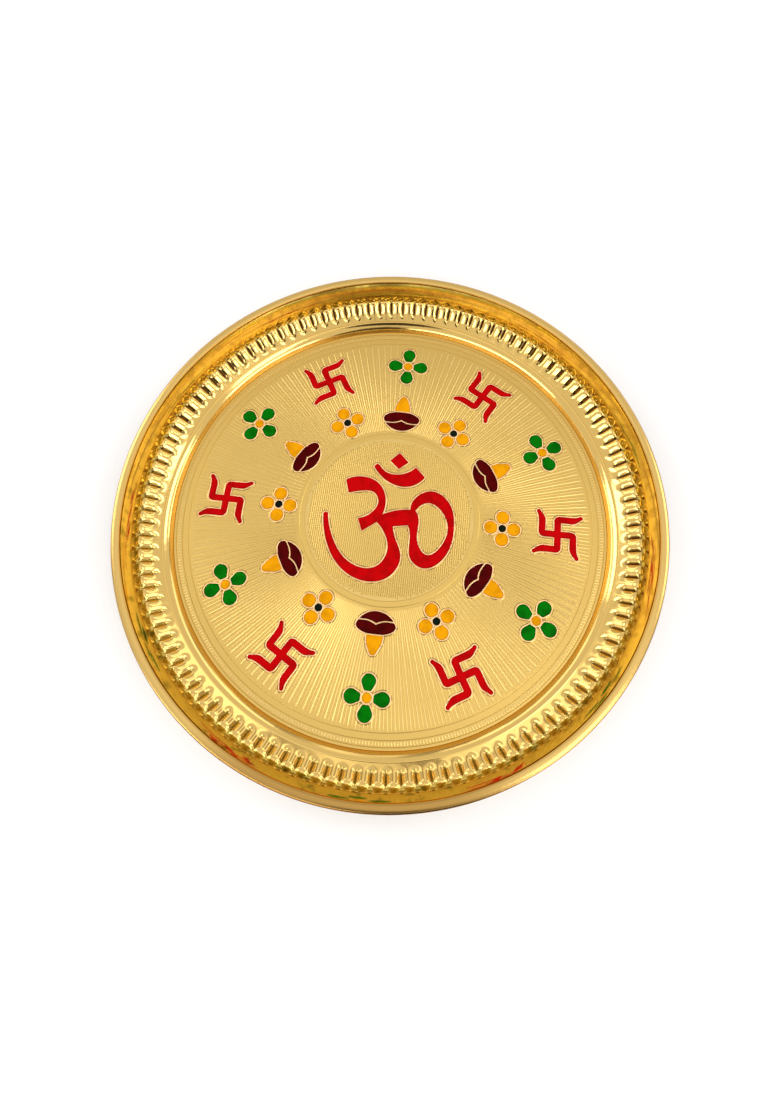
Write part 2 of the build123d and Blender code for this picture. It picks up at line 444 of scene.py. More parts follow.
def sheet_zones(finish, radius):
    """Masks of the wall, of all from the channel outwards, and of the lip."""
    wall = finish.rise(radius, floor_edge - 0.2 * MM, floor_edge + 0.6 * MM)
    channel = finish.rise(radius, channel_start - 1.5 * MM, channel_start + 0.3 * MM)
    lip = finish.rise(radius, channel_end, channel_end + 0.6 * MM)
    return wall, channel, lip


def inside_of_channel(finish, radius, height, channel, lip):
    """A mask of the channel's inner skin alone."""
    inside = finish.rise(height - skin_slope * radius, skin_level, skin_level + skin_blur)
    return channel * (1 - lip) * inside


def clean_colour(finish, place, height, wall, in_channel, lip):
    """The colour of the metal zone by zone, with a painted reflection in the channel."""
    raised = finish.rise(height, floor_top + 0.2 * relief, floor_top + relief)
    sunk = 1 - finish.rise(height, floor_top - relief, floor_top - 0.2 * relief)
    wear = finish.rise(finish.noise(place, wear_size), 0.30, 0.62)
    colour = finish.mix(pale_brass, raised_brass, raised * finish.between(least_wear, 1, wear))
    colour = finish.mix(colour, sunk_brass, sunk)
    colour = finish.mix(colour, wall_brass, wall)
    # painted reflection: a deeper gold in the channel, where one gold wall mirrors another
    colour = finish.mix(colour, painted_reflection_brass, in_channel * painted_reflection_share)
    return finish.mix(colour, lip_brass, lip)


print("brass zones from", round(floor_edge / MM, 1), "to", round(rim_radius / MM, 1))

# %% [markdown]
# ## Painted shade between the fingers
#
# The valleys between the fingers are painted in shade: dark brown on the far side and olive on the
# near side, and the metal round their heads is painted a shaded brown. It could be painted on, flute
# by flute. A wave that turns once a flute finds all the valleys at once.

# %% Painted shade between the fingers
flutes = 116
flute_start = 124.0 * MM
flute_blur = 2 * MM
far_valley_shade = (0.10, 0.045, 0.01, 1)
near_valley_shade = (0.20, 0.15, 0.02, 1)
brown_polish_and_shade = (0.26, 0.11, 0.015, 1)
far_valley_shade_share = 0.9
near_valley_shade_share = 0.65
head_shade_share = 0.40


def flute_shade(finish, colour, place, radius, channel, near_side):
    """A colour with painted shade in the valleys between the fingers and round their heads."""
    inputs = {0: finish.along(place, (0, 1, 0)), 1: finish.along(place, (1, 0, 0))}
    turn = finish.node("ShaderNodeMath", {"operation": "ARCTAN2"}, inputs)
    wave = finish.node("ShaderNodeMath", {"operation": "COSINE"}, {0: turn * flutes})
    fluted = finish.rise(radius, flute_start, flute_start + flute_blur) * (1 - channel)
    valley = finish.rise(wave, 0.50, 0.97) * fluted
    head = channel * (1 - finish.rise(radius, channel_start + 0.4 * MM, channel_start + 1.4 * MM))
    # painted shade: the valleys are darkened, most on the far side, where shade falls between the fingers
    valley_shade = finish.mix(far_valley_shade, near_valley_shade, near_side)
    share = finish.between(far_valley_shade_share, near_valley_shade_share, near_side)
    colour = finish.mix(colour, valley_shade, share * valley)
    # painted shade round the heads of the fingers; the same brown also marks real specks in the channel
    return finish.mix(colour, brown_polish_and_shade, head_shade_share * head)


print("flutes with polish between them:", flutes)

# %% [markdown]
# ## Painted shade on the lip
#
# The seam where the channel meets the rolled lip is painted with a brown line of shade, and so is the
# lip's outer edge. On the near side the seam is left clean, and a thin painted shade lies on the lip
# instead. The lines are rings, so the distance from the axis is enough to place them, with nothing to
# unwrap.

# %% Painted shade on the lip
lip_edge = 139.4 * MM
near_lip_span = (112 * MM, 132 * MM)
seam_shade_share = 0.85
edge_shade_share = 0.5
near_lip_shade_share = 0.55


def lip_shade(finish, colour, place, radius, lip):
    """A colour with painted shade in the seam and on the edge of the lip, and over the lip's near side."""
    before_seam = finish.rise(radius, channel_end - 0.25 * MM, channel_end - 0.1 * MM)
    after_seam = finish.rise(radius, channel_end + 0.05 * MM, channel_end + 0.2 * MM)
    near_lip = finish.rise(finish.along(place, (0, -1, 0)), *near_lip_span)
    # painted shade: a dark line in the seam, left off the near side
    seam = before_seam * (1 - after_seam) * (1 - near_lip)
    edge = finish.rise(radius, lip_edge - 0.4 * MM, lip_edge + 0.2 * MM)
    # painted shade over the near side of the lip
    near_lip_shade = near_lip * lip
    return finish.mix(colour, brown_polish_and_shade, seam_shade_share * seam + edge_shade_share * edge + near_lip_shade_share * near_lip_shade)


print("seam at", round(channel_end / MM, 1), "and edge at", round(lip_edge / MM, 1))

# %% [markdown]
# ## Polish in the channel
#
# In the channel under the lip the paste has dried in specks: brown ones, most on the far side, and
# green spots on the near side. Noise between two close limits gives specks that never repeat, as
# those of a picture laid round the tray would.

# %% Polish in the channel
speck_size = 5 * MM
spot_size = 9 * MM
green_residue = (0.15, 0.16, 0.015, 1)
far_speck_share = 0.38
near_speck_share = 0.12
green_share = 0.7


def channel_residue(finish, colour, place, in_channel, near_side):
    """A colour with specks of polish in the channel, and a mask of the brown ones."""
    specks = finish.rise(finish.noise(place, speck_size, 4), 0.42, 0.68) * in_channel
    brown = specks * finish.between(far_speck_share, near_speck_share, near_side)
    green = specks * near_side * finish.rise(finish.noise(place, spot_size, 2), 0.50, 0.60)
    colour = finish.mix(colour, brown_polish_and_shade, brown)
    return finish.mix(colour, green_residue, green_share * green), brown


print("specks of about", round(speck_size / MM, 1), "mm")

# %% [markdown]
# ## The brass of the sheet
#
# The sheet's finish puts the metal, its painted shade and reflection, and the specks of polish
# together. Its roughness falls from satin on the floor to a mirror on the wall, and rises a little on
# the lip and where polish lies. A slow ripple bends the reflections in the wall, because pressed
# sheet is never quite true, and a fine grain covers the floor. Both are bumps rather than shapes, as
# they are far too shallow to change an outline.

# %% Brass of the sheet
near_way = (-0.35, -0.94, 0)
near_span = (-50 * MM, 130 * MM)
cloud_size = 22 * MM
ripple_size = 5 * MM
grain_size = 0.7 * MM
unevenness_depth = 0.10 * MM
ripple_share = 0.3
grain_share = 0.06
satin = 0.30
mirror = 0.06
lip_dulling = 0.14
cloud_dulling = 0.06
residue_dulling = 0.20


def brass_finish():
    """The sheet's brass, zone by zone from the middle to the lip."""
    finish = Graph(bpy.data.materials.new("pressed_brass"), "Principled BSDF")
    place = finish.place()
    radius = finish.radius(place)
    height = finish.along(place, upwards)
    near_side = finish.rise(finish.along(place, near_way), *near_span)
    wall, channel, lip = sheet_zones(finish, radius)
    in_channel = inside_of_channel(finish, radius, height, channel, lip)
    colour = clean_colour(finish, place, height, wall, in_channel, lip)
    colour = flute_shade(finish, colour, place, radius, channel, near_side)
    colour = lip_shade(finish, colour, place, radius, lip)
    colour, residue = channel_residue(finish, colour, place, in_channel, near_side)
    clouds = finish.noise(place, cloud_size)
    roughness = finish.between(satin, mirror, wall) + lip_dulling * lip
    roughness = roughness + cloud_dulling * clouds + residue_dulling * residue
    ripples = finish.noise(place, ripple_size, 2)
    grain = finish.noise(place, grain_size, 2)
    unevenness = ripple_share * ripples * wall + grain_share * grain * (1 - wall)
    finish.set(Base_Color=colour, Metallic=1.0, Roughness=roughness)
    finish.set(Normal=finish.bump(unevenness, unevenness_depth))
    return finish.owner


pressed_brass = brass_finish()
print("made", pressed_brass.name, "with", len(pressed_brass.node_tree.nodes), "nodes")

# %% [markdown]
# ## The brass of the outlines
#
# The tops of the raised outlines are painted paler and warmer than the floor, a painted highlight.
# Shade is painted in brown patches in the corner beside them. One material with a mask could show
# both, but tops and corners are two pieces, so two short materials are simpler.

# %% Brass of the outlines
outline_cloud_size = 6 * MM
outline_dim_highlight = (0.86, 0.54, 0.25, 1)
outline_highlight = (0.96, 0.63, 0.33, 1)
outline_roughness = 0.35
corner_patch_size = 4 * MM
corner_painted_shade = (0.13, 0.075, 0.01, 1)
corner_shade_share = 0.85


def outline_finish():
    """The top of the raised outlines, with a painted highlight that makes it paler than the floor."""
    finish = Graph(bpy.data.materials.new("outline_brass"), "Principled BSDF")
    clouds = finish.noise(finish.place(), outline_cloud_size)
    # painted highlight: the outline's colour is paler and warmer than the floor's, mixed between two tones
    # by noise
    colour = finish.mix(outline_dim_highlight, outline_highlight, clouds)
    finish.set(Base_Color=colour, Metallic=1.0, Roughness=outline_roughness)
    return finish.owner


def corner_finish():
    """Brass with painted shade in brown patches, for the corner beside a raised outline."""
    finish = Graph(bpy.data.materials.new("corner_brass"), "Principled BSDF")
    patches = finish.rise(finish.noise(finish.place(), corner_patch_size), 0.40, 0.56)
    # painted shade in brown patches in the corner beside the outline
    colour = finish.mix(pale_brass, corner_painted_shade, corner_shade_share * patches)
    finish.set(Base_Color=colour, Metallic=1.0, Roughness=outline_roughness)
    return finish.owner


outline_brass = outline_finish()
corner_brass = corner_finish()
print("made", outline_brass.name, "and", corner_brass.name)

# %% [markdown]
# ## Enamel
#
# The colours are a lacquer, brushed into the cells by hand and left to level. It is never quite even,
# so a slow noise moves its colour between a deep and a bright tone, and a finer one stirs the
# surface. Shade is painted along its edge, where it meets the metal, in the deep tone, and light is
# painted on its crown in the bright tone.

# %% Enamel finishes
enamel_cloud_size = 5 * MM
brush_size = 3.5 * MM
crown_low = 0.25 * MM
crown_high = 0.34 * MM
enamel_specular = 0.03
enamel_dulling = 0.12
enamel_unevenness = 0.12 * MM
enamel_tones = {
    # deep tone, also the painted shade at the edge; bright tone, also the painted light on the crown;
    # roughness
    "red_enamel": ((0.25, 0.0, 0.0, 1), (0.47, 0.0, 0.001, 1), 0.28),
    "green_enamel": ((0.0, 0.05, 0.0, 1), (0.0, 0.145, 0.001, 1), 0.26),
    "yellow_enamel": ((0.48, 0.18, 0.0, 1), (0.75, 0.31, 0.001, 1), 0.30),
    "maroon_enamel": ((0.026, 0.0, 0.0, 1), (0.072, 0.0, 0.0, 1), 0.22),
    "black_enamel": ((0.002, 0.003, 0.002, 1), (0.005, 0.009, 0.004, 1), 0.25),
}


def enamel_finish(name, deep, bright, roughness):
    """A lacquer between two tones of one colour, with painted shade at its edge and painted light on its
    crown.
    """
    finish = Graph(bpy.data.materials.new(name), "Principled BSDF")
    place = finish.place()
    clouds = finish.noise(place, enamel_cloud_size)
    height = finish.along(place, upwards)
    # painted shade and light: the deep tone along the edge of the fill and the bright tone on its crown
    crown = finish.rise(height, floor_top + crown_low, floor_top + crown_high)
    colour = finish.mix(deep, bright, crown * (0.45 + 0.8 * finish.rise(clouds, 0.3, 0.7)))
    surface = finish.noise(place, brush_size, 2)
    finish.set(Base_Color=colour, Roughness=roughness + enamel_dulling * clouds)
    finish.set(Specular_IOR_Level=enamel_specular, Normal=finish.bump(surface, enamel_unevenness))
    return finish.owner


enamels = {name: enamel_finish(name, *tones) for name, tones in enamel_tones.items()}
print("enamels:", ", ".join(enamels))

# %% [markdown]
# ## One wedge, spun into a sheet
#
# The floor and the wall repeat many times round the tray. Modelling the whole turn by hand would
# never be even, so one wedge is modelled and the Spin tool copies it round. A plain grid is the
# start: its rows become rings of the section and its columns fan out over the wedge. The section
# runs over the top, round the edge and back underneath, so that the spun sheet is a closed shell.

# %% Helper: a spun wedge
merge_distance = 4e-6


def spun_wedge(name, radii, levels, fan, copies):
    """A closed shell of turned wedges: radius and level by row and column, and each column's share."""
    rows, columns = radii.shape
    bpy.ops.object.select_all(action="DESELECT")
    bpy.ops.mesh.primitive_grid_add(x_subdivisions=columns - 1, y_subdivisions=rows - 1, size=1)
    piece = bpy.context.object
    piece.name = name
    corners = np.empty(rows * columns * 3)
    piece.data.vertices.foreach_get("co", corners)
    share = corners.reshape(-1, 3)[:, :2] + 0.5
    column = np.rint(share[:, 0] * (columns - 1)).astype(int)
    row = np.rint(share[:, 1] * (rows - 1)).astype(int)
    angle = fan[column] * 2 * math.pi / copies
    radius = radii[row, column]
    spots = np.column_stack((radius * np.cos(angle), radius * np.sin(angle), levels[row, column]))
    piece.data.vertices.foreach_set("co", spots.ravel())
    bpy.ops.object.mode_set(mode="EDIT")
    bpy.ops.mesh.select_all(action="SELECT")
    bpy.ops.mesh.spin(steps=copies, dupli=True, angle=2 * math.pi, center=(0, 0, 0), axis=(0, 0, 1))
    bpy.ops.mesh.select_all(action="SELECT")
    bpy.ops.mesh.remove_doubles(threshold=merge_distance)
    bpy.ops.mesh.normals_make_consistent(inside=False)
    bpy.ops.object.mode_set(mode="OBJECT")
    return piece


print("one wedge becomes a whole turn")

# %% [markdown]
# ## Handing over a piece
#
# A finished piece is given its finish and joined to the body of the tray, and the CAD nodes that it
# stands for are hidden. Every piece needs the same lines, so they are written once.

# %% Helper: handing over
def hand_over(piece, slot, material, *nodes):
    """Gives a finished piece its material and its body, and hides the CAD nodes that it stands for."""
    piece.data.materials.clear()
    piece.data.materials.append(material)
    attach(piece, "root")
    if nodes:
        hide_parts(*nodes)
    return piece


print("pieces can be handed over")

# %% [markdown]
# ## The engraved floor
#
# From the middle outwards the floor has two ring lines, a fan of straight rays, a third line, a plain
# band, and a row of small square teeth between two more lines. Each is a change of height of a tenth
# of a millimetre or so. A bump could fake that, but real rays also last in a copy without materials.
# The rays and teeth share the wedge: each of 58 wedges holds three strong rays with fainter ones
# between them, and eight teeth. The press works through the sheet, so the underside repeats them.

# %% Rings of the floor
ring_inner = 46.4 * MM
ring_outer = 49.3 * MM
border_inner = 109.5 * MM
border_middle = 112.8 * MM
border_outer = 116.0 * MM
floor_split = 116.8 * MM
line_half_width = 0.26 * MM
ray_rings = 6
ray_margin = 0.9 * MM
ray_slope = 1.2 * MM
tooth_margin = 0.5 * MM
tooth_slope = 0.35 * MM


def floor_rows():
    """Rings of the floor: radius, depth of line, share of ray height, share of tooth height."""
    rows = [(ring_inner - line_half_width, 1, 0, 0), (ring_inner, 0, 0, 0)]
    for line in (ring_outer, border_inner, border_middle, border_outer):
        rows += [(line - line_half_width, 0, 0, 0), (line, 1, 0, 0), (line + line_half_width, 0, 0, 0)]
    first = ring_outer + ray_margin
    last = border_inner - ray_margin
    rows += [(first, 0, 0, 0), (last, 0, 0, 0)]
    for radius in np.linspace(first + ray_slope, last - ray_slope, ray_rings):
        rows.append((radius, 0, 1, 0))
    near = border_middle + tooth_margin
    far = border_outer - tooth_margin
    rows += [(near, 0, 0, 0), (near + tooth_slope, 0, 0, 1), (far - tooth_slope, 0, 0, 1), (far, 0, 0, 0)]
    rows.append((floor_split, 0, 0, 0))
    return np.array(sorted(rows))


print("rings of the floor:", len(floor_rows()))

# %% Engraved floor
sheet = floor_top
wedges = 58
rays_per_wedge = 3
columns_per_ray = 8
columns_per_tooth = 3
line_depth = 0.08 * MM
ray_height = 0.10 * MM
# share of the height, column by column, from the middle of a strong ray to that of a fainter one
ray_section = (1.0, -0.35, 0.0, -0.35, 0.7)
tooth_height = 0.09 * MM
floor_smooth_angle = math.radians(8)


def engraved_floor():
    """The flat of the sheet, from the ring line to the foot of the wall."""
    radius, line, ray, tooth = floor_rows().T
    column = np.arange(rays_per_wedge * columns_per_ray + 1)
    ones = np.ones(len(column))
    from_ray = np.abs(column % columns_per_ray - columns_per_ray // 2)
    ray_shape = np.array(ray_section)[from_ray]
    tooth_shape = (column % columns_per_tooth == 1).astype(float)
    height = np.outer(ray, ray_shape) * ray_height + np.outer(tooth, tooth_shape) * tooth_height
    height -= np.outer(line, ones) * line_depth
    wide_radius = np.outer(radius, ones)
    radii = np.vstack((wide_radius, wide_radius[::-1], wide_radius[:1]))
    levels = np.vstack((floor_top + height, floor_top - sheet + height[::-1], floor_top + height[:1]))
    return spun_wedge("thali_floor", radii, levels, column / column[-1], wedges)


thali_floor = engraved_floor()
bpy.ops.object.shade_smooth_by_angle(angle=floor_smooth_angle)
hand_over(thali_floor, "brass", pressed_brass, "thali_plate")
print("floor faces:", len(thali_floor.data.polygons))

# %% [markdown]
# ## The stippled middle
#
# Behind the Om the floor is covered with a fine square grid of pricks. A grid primitive has the
# squares already. Those outside the circle are deleted, and the corners of the ragged edge that is
# left are moved onto the circle. Poke Faces then pricks a small pit in every square but those at the
# edge, and Solidify gives the sheet its thickness.

# %% Helpers: chosen faces and a round edge
def choose_faces(piece, test):
    """Selects, in edit mode, the faces that pass a test."""
    bpy.ops.mesh.select_mode(type="FACE")
    bpy.ops.mesh.select_all(action="DESELECT")
    mesh = bmesh.from_edit_mesh(piece.data)
    for face in mesh.faces:
        face.select_set(test(face))
    bmesh.update_edit_mesh(piece.data)


def round_off(piece, edge):
    """Moves the open edge of a flat piece, in edit mode, onto a circle."""
    bpy.ops.mesh.select_all(action="SELECT")
    bpy.ops.mesh.region_to_loop()
    mesh = bmesh.from_edit_mesh(piece.data)
    for vertex in mesh.verts:
        if vertex.select:
            vertex.co.xy = vertex.co.xy.normalized() * edge
    bmesh.update_edit_mesh(piece.data)


print("faces can be chosen by a test")

# %% Medallion
stipple_pitch = 1.1 * MM
stipple_depth = 0.17 * MM
stipple_lift = 0.05 * MM


def stippled_medallion():
    """A round sheet of small pits that fills the ring line."""
    edge = ring_inner - line_half_width
    cells = 2 * math.ceil(edge / stipple_pitch)
    bpy.ops.object.select_all(action="DESELECT")
    bpy.ops.mesh.primitive_grid_add(x_subdivisions=cells, y_subdivisions=cells,
                                    size=cells * stipple_pitch, location=(0, 0, floor_top + stipple_lift))
    piece = bpy.context.object
    piece.name = "thali_medallion"
    bpy.ops.object.transform_apply(location=True, rotation=False, scale=False)
    bpy.ops.object.mode_set(mode="EDIT")
    choose_faces(piece, lambda face: face.calc_center_median().xy.length > edge - stipple_pitch / 2)
    bpy.ops.mesh.delete(type="FACE")
    round_off(piece, edge)
    choose_faces(piece, lambda face: face.calc_center_median().xy.length < edge - stipple_pitch)
    bpy.ops.mesh.poke(offset=-stipple_depth, center_mode="MEDIAN")
    bpy.ops.object.mode_set(mode="OBJECT")
    thickness = piece.modifiers.new("sheet", "SOLIDIFY")
    thickness.thickness = sheet
    thickness.offset = -1
    bpy.ops.object.modifier_apply(modifier=thickness.name)
    return piece


thali_medallion = stippled_medallion()
hand_over(thali_medallion, "brass", pressed_brass, "thali_plate")
print("medallion faces:", len(thali_medallion.data.polygons))

# %% [markdown]
# ## The ridge
#
# The wall starts with a groove and a ridge, which falls into a crease. A polished surface is judged
# by its reflections, and those follow its slope. So the ridge is given as slopes rather than
# heights, and its heights are added up from them. A sudden change of slope draws a sharp line in the
# metal, and a slow one draws a soft band.

# %% Ridge
groove_depth = 0.25 * MM
groove_start = 0.35 * MM
groove_end = 0.10 * MM
ridge_bends = [
    # distance from the axis and slope of the ridge there, in degrees
    (117.6 * MM, 72), (118.0 * MM, 68), (118.5 * MM, 64), (118.6 * MM, 45), (119.6 * MM, 41),
    (120.2 * MM, 38), (121.6 * MM, 28), (121.8 * MM, -8), (122.1 * MM, -16),
]
ridge_row_counts = (1, 2, 1, 2, 2, 4, 2, 1)
path_steps = 400


def levels_on(bends, radius, foot_level):
    """The height of a path at each radius, from the slopes where it bends."""
    bends = np.array(bends)
    fine = np.linspace(bends[0, 0], bends[-1, 0], path_steps)
    slope = np.radians(np.interp(fine, bends[:, 0], bends[:, 1]))
    level = foot_level + np.concatenate(((0,), np.cumsum(np.tan(slope[:-1]) * np.diff(fine))))
    return np.interp(radius, fine, level)


def ridge_rows():
    """The groove at the edge of the floor and the ridge after it."""
    stops = [radius for radius, slope in ridge_bends]
    spans = [np.linspace(start, end, rows, endpoint=False)
             for start, end, rows in zip(stops, stops[1:], ridge_row_counts)]
    radius = np.append(np.concatenate(spans), stops[-1])
    groove = [(floor_split, 0), (stops[0] - groove_start, 0), (stops[0] - groove_end, -groove_depth)]
    return np.vstack((groove, np.column_stack((radius, levels_on(ridge_bends, radius, 0)))))


print("ridge height in mm:", round(ridge_rows()[:, 1].max() / MM, 2))

# %% [markdown]
# ## The crest of a finger
#
# After the crease the wall climbs a smooth cove and swells into fingers. A finger's crest carries on
# the line of the cove and bends over at its head, so it is given by its slopes as the ridge is. Its
# rows crowd together at the head, where they have to be closest to draw a round end.

# %% Crest of a finger
crest_bends = [
    # distance from the axis and slope of the crest there, in degrees
    (122.1 * MM, 41), (124.0 * MM, 43), (126.0 * MM, 44.5), (128.8 * MM, 44), (130.3 * MM, 32),
    (131.3 * MM, 5),
]
arch_start = 129.2 * MM
arch_end = crest_bends[-1][0]
body_rows = 10
head_rows = 10


def crest_rows(foot_level):
    """Radius and level up the crest of a finger, from the crease to its round end."""
    body = np.linspace(crest_bends[0][0], arch_start, body_rows)
    round_end = np.sin(np.linspace(0, math.pi / 2, head_rows))[1:]
    radius = np.concatenate((body, arch_start + (arch_end - arch_start) * round_end))
    return radius, levels_on(crest_bends, radius, foot_level)


print("rows up a finger:", body_rows + head_rows - 1)

# %% [markdown]
# ## Valleys between the fingers
#
# Between the fingers the sheet sinks into valleys, and at the outer end each finger closes in an
# arch. No modelling operator draws that, so every point of the wedge takes its depth below the crest
# from a formula.

# %% Valleys
valley_start = 123.4 * MM
valley_full = 126.4 * MM
valley_depth = 1.5 * MM
round_share = 0.80
least_half_width = 1e-3


def smooth(value, low, high):
    """0 below low, 1 above high and smooth between."""
    share = np.clip((value - low) / (high - low), 0, 1)
    return share * share * (3 - 2 * share)


def below_crest(radius, across):
    """How deep a point lies below the crest: across runs from -1 to 1, valley to valley."""
    into_arch = np.clip((radius - arch_start) / (arch_end - arch_start), 0, 1)
    half_width = np.sqrt(1 - into_arch ** 2)
    side = np.clip(np.abs(across) / np.maximum(half_width, least_half_width), 0, 1)
    hollow = round_share * side ** 2 + (1 - round_share) * side ** 8
    opened = smooth(radius, valley_start, valley_full)
    return valley_depth * opened * (1 - (1 - hollow) * np.sqrt(half_width))


print("valley depth in mm:", round(valley_depth / MM, 2))

# %% [markdown]
# ## The step and the channel
#
# Behind the heads of the fingers an upright step mirrors them, and above it a steep channel leads to
# the lip. Straight lines would show as flat bands in the metal, so each is a curve whose slope
# changes evenly from one end to the other.

# %% Step and channel
step_top = (132.9 * MM, 16.3 * MM)
step_slopes = (68, 88)
step_rows = 5
lip_inner = (135.35 * MM, 22.2 * MM)
channel_slopes = (71, 60)
channel_rows = 6
climb_steps = 200


def climb(start, end, slopes, rows):
    """Points from start to end on a curve whose slope changes evenly, as near as both ends allow."""
    fine = np.linspace(0, 1, climb_steps)
    slope = np.radians(slopes[0] + (slopes[1] - slopes[0]) * fine)
    path = np.cumsum(np.column_stack((np.cos(slope), np.sin(slope))), axis=0)
    path = (path - path[0]) / (path[-1] - path[0])
    path = np.array(start) + path * (np.array(end) - np.array(start))
    share = np.linspace(0, 1, rows)
    return np.column_stack([np.interp(share, fine, path[:, axis]) for axis in (0, 1)])


print("rows up step and channel:", step_rows + channel_rows - 2)

# %% [markdown]
# ## The rolled lip
#
# The edge of the sheet is rolled over, so that it is stiff and safe to hold. The roll is pressed
# nearly flat on top, with round corners. A flattened circle would be too round there, so the powers
# of its cosine and sine are changed, which squares it.

# %% Lip
lip_half_width = 2.2 * MM
lip_half_height = 1.2 * MM
lip_squareness = 3.0
lip_tilt = math.radians(0.5)
lip_start = math.radians(190)
lip_end = math.radians(-100)
lip_row_count = 15


def lip_rows():
    """The rolled lip: flat and a little tilted on top, and round at its corners."""
    turn = np.linspace(lip_start, lip_end, lip_row_count)
    across, up = np.cos(turn), np.sin(turn)
    across = np.sign(across) * np.abs(across) ** (2 / lip_squareness)
    up = np.sign(up) * np.abs(up) ** (2 / lip_squareness)
    tilted = lip_half_height * up - lip_half_width * across * math.tan(lip_tilt)
    level = rim_height - floor_top - tilted.max() + tilted
    return np.column_stack((rim_radius - lip_half_width + lip_half_width * across, level))


print("rows round the lip:", len(lip_rows()))

# %% [markdown]
# ## The fluted wall
#
# The wedge is now put together: up the inner side from the groove to the channel, round the lip and
# back down one sheet below. The outer side is seen less, so it has only every second row. One wedge
# holds one finger, from valley to valley, and 116 of them make the wall.

# %% Wall
columns_per_flute = 10
valley_slope = math.radians(46)
wall_smooth_angle = math.radians(28)


def upper_skin(across):
    """Radius and level of the upper side, by row and column, from the groove to the lip."""
    ones = np.ones(len(across))
    ridge = ridge_rows()
    radius, level = crest_rows(ridge[-1, 1])
    depth = below_crest(radius[:, None], across[None, :])
    crest_radii = radius[:, None] + depth * math.sin(valley_slope)
    crest_levels = level[:, None] - depth * math.cos(valley_slope)
    channel_foot = (crest_radii[-1, 0], crest_levels[-1, 0])
    step = climb(channel_foot, step_top, step_slopes, step_rows)[1:]
    channel = np.vstack((step, climb(step_top, lip_inner, channel_slopes, channel_rows)[1:]))
    radii = np.vstack((np.outer(ridge[:-1, 0], ones), crest_radii, np.outer(channel[:, 0], ones)))
    levels = np.vstack((np.outer(ridge[:-1, 1], ones), crest_levels, np.outer(channel[:, 1], ones)))
    return radii, levels


def lower_skin(radii, levels):
    """The underside, one sheet below the upper side, on every second row from the lip back down."""
    run = np.gradient(radii.mean(axis=1))
    rise = np.gradient(levels.mean(axis=1))
    length = np.hypot(run, rise)
    run[0], rise[0], length[0] = 1, 0, 1
    low_radii = radii + (sheet * rise / length)[:, None]
    low_levels = levels - (sheet * run / length)[:, None]
    return low_radii[::-2], low_levels[::-2]


def fluted_wall():
    """The sheet from the foot of the ridge over the lip, and back underneath."""
    across = np.sin(np.linspace(-math.pi / 2, math.pi / 2, columns_per_flute + 1))
    ones = np.ones(len(across))
    top_radii, top_levels = upper_skin(across)
    low_radii, low_levels = lower_skin(top_radii, top_levels)
    lip = lip_rows()
    radii = np.vstack((top_radii, np.outer(lip[:, 0], ones), low_radii, top_radii[:1]))
    levels = np.vstack((top_levels, np.outer(lip[:, 1], ones), low_levels, top_levels[:1]))
    return spun_wedge("thali_wall", radii, floor_top + levels, (across + 1) / 2, flutes)


thali_wall = fluted_wall()
bpy.ops.object.shade_smooth_by_angle(angle=wall_smooth_angle)
hand_over(thali_wall, "brass", pressed_brass, "thali_plate")
print("wall faces:", len(thali_wall.data.polygons))

# %% [markdown]
# ## Enamel fills
#
# Each fill starts as a copy of its CAD solid, so it is in place and has the right outline. It could
# be drawn again from curves, but then it might not fit its cell. The flat top is sunk a little, and
# two insets with some height turn it into a soft crown, as lacquer stands in a cell.

# %% Fills
crown_steps = [(0.20 * MM, 0.05 * MM), (0.40 * MM, 0.05 * MM)]
fill_sink = -0.06 * MM
node_merge = 0.05 * MM
trim_smooth_angle = math.radians(60)
enamel_nodes = [name for name in sorted(frame["nodes"]) if name != "thali_plate"]


def only(piece):
    """Selects one piece alone and makes it the active one."""
    bpy.ops.object.select_all(action="DESELECT")
    piece.select_set(True)
    bpy.context.view_layer.objects.active = piece


def node_copy(node, name):
    """A merged copy of a CAD solid, as a new piece in edit mode."""
    piece = bpy.data.objects.new(name, frame["nodes"][node].data.copy())
    bpy.context.scene.collection.objects.link(piece)
    only(piece)
    bpy.ops.object.mode_set(mode="EDIT")
    bpy.ops.mesh.select_all(action="SELECT")
    bpy.ops.mesh.remove_doubles(threshold=node_merge)
    return piece


def enamel_fill(node):
    """The enamel of one CAD node, with a soft crown."""
    piece = node_copy(node, node + "_fill")
    choose_faces(piece, lambda face: face.normal.z > 0.9)
    bpy.ops.transform.translate(value=(0, 0, fill_sink))
    for width, rise in crown_steps:
        bpy.ops.mesh.inset(thickness=width, depth=rise, use_even_offset=False)
    bpy.ops.object.mode_set(mode="OBJECT")
    bpy.ops.object.shade_smooth_by_angle(angle=trim_smooth_angle)
    return piece


for node in enamel_nodes:
    slot = frame["nodes"][node].data.materials[0].name
    hand_over(enamel_fill(node), slot, enamels[slot], node)
print("fills:", len(enamel_nodes))

# %% [markdown]
# ## Raised outlines
#
# A low wall of brass keeps each colour in its cell. It starts as a copy of the same solid, of which
# only the lower edge is kept, moved outwards by half a wire. Turned into a curve, the edge gets a
# round section, as a wire would have, and the wire is pressed flatter. A second wire on the same
# line is wider and almost flat. It shows beside the first as the corner where outline and floor
# meet, and carries the shade that is painted there in patches.

# %% Lower edge of a cell
outline_radius = 0.38 * MM
outline_spacing = 0.12 * MM
lower_edge_below = 0.1 * MM


def choose_points(piece, test):
    """Selects, in edit mode, the corners that pass a test."""
    bpy.ops.mesh.select_mode(type="VERT")
    bpy.ops.mesh.select_all(action="DESELECT")
    mesh = bmesh.from_edit_mesh(piece.data)
    for vertex in mesh.verts:
        vertex.select_set(test(vertex))
    bmesh.update_edit_mesh(piece.data)


